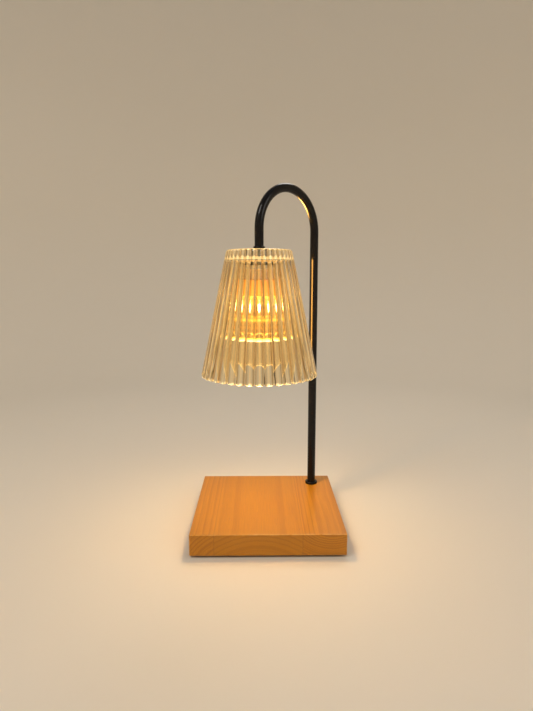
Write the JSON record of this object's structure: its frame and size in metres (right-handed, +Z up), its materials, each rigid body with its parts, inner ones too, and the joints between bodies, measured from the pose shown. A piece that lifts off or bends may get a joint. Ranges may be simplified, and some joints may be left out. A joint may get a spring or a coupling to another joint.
{
  "type": "candle warmer lamp",
  "caption": "Candle warmer lamp: hooked black tube on a square wooden block, holding a fluted glass cone shade and a twist-lock reflector bulb over the spot for a jar candle.",
  "frame": {"origin": "on the table under the centre of the wooden block", "axes": "+Z up, -Y to the front, +X to the right seen from the front; the post is at +X +Y"},
  "size_m": [0.14, 0.14, 0.335],
  "materials": {
    "honey_wood": "clear satin lacquer",
    "cover_board": "matte",
    "foot_rubber": "matte",
    "zinc_steel": "zinc plated",
    "nylon": "natural nylon",
    "sleeve_brass": "turned",
    "black_paint": "gloss black",
    "silicone": "translucent silicone",
    "pressed_glass": "fire polished",
    "steatite": "unglazed",
    "lead_sleeve": "silicone sleeved",
    "bulb_ceramic": "unglazed",
    "nickel": "nickel plated",
    "reflector_glass": "faceted, coated inside",
    "front_glass": "clear",
    "capsule_glass": "clear quartz",
    "tungsten": "coiled wire"
  },
  "bodies": {
    "lamp": {"base_stave_left": "honey_wood", "base_stave_middle": "honey_wood", "base_stave_right": "honey_wood", "bottom_cover": "cover_board", "rubber_feet": "foot_rubber", "foot_screws": "zinc_steel", "cord_grommet": "foot_rubber", "terminal_block": "nylon", "terminal_sleeves": "sleeve_brass", "terminal_screws": "zinc_steel", "block_screw": "zinc_steel", "gooseneck_tube": "black_paint", "post_collar": "black_paint", "post_washer": "zinc_steel", "post_lock_washer": "zinc_steel", "post_nut": "zinc_steel", "shade_cap": "black_paint", "upper_gasket": "silicone", "lower_gasket": "silicone", "glass_shade": "pressed_glass", "shade_washer": "zinc_steel", "shade_nut": "black_paint", "holder_plate": "zinc_steel", "lampholder": "steatite", "holder_screws": "zinc_steel", "holder_contacts": "sleeve_brass", "lead_live": "lead_sleeve", "lead_neutral": "lead_sleeve"},
    "bulb": {"bulb_base": "bulb_ceramic", "bulb_pins": "nickel", "bulb_reflector": "reflector_glass", "bulb_front_glass": "front_glass", "bulb_capsule": "capsule_glass", "bulb_filament": "tungsten"}
  },
  "joints": [
    {"name": "bulb_twist", "type": "hinge", "parent": "lamp", "child": "bulb", "pos_m": [-0.00757, -0.00757, 0.2436], "axis": [0, 0, 1], "range_deg": [-25, 0]}
  ]
}
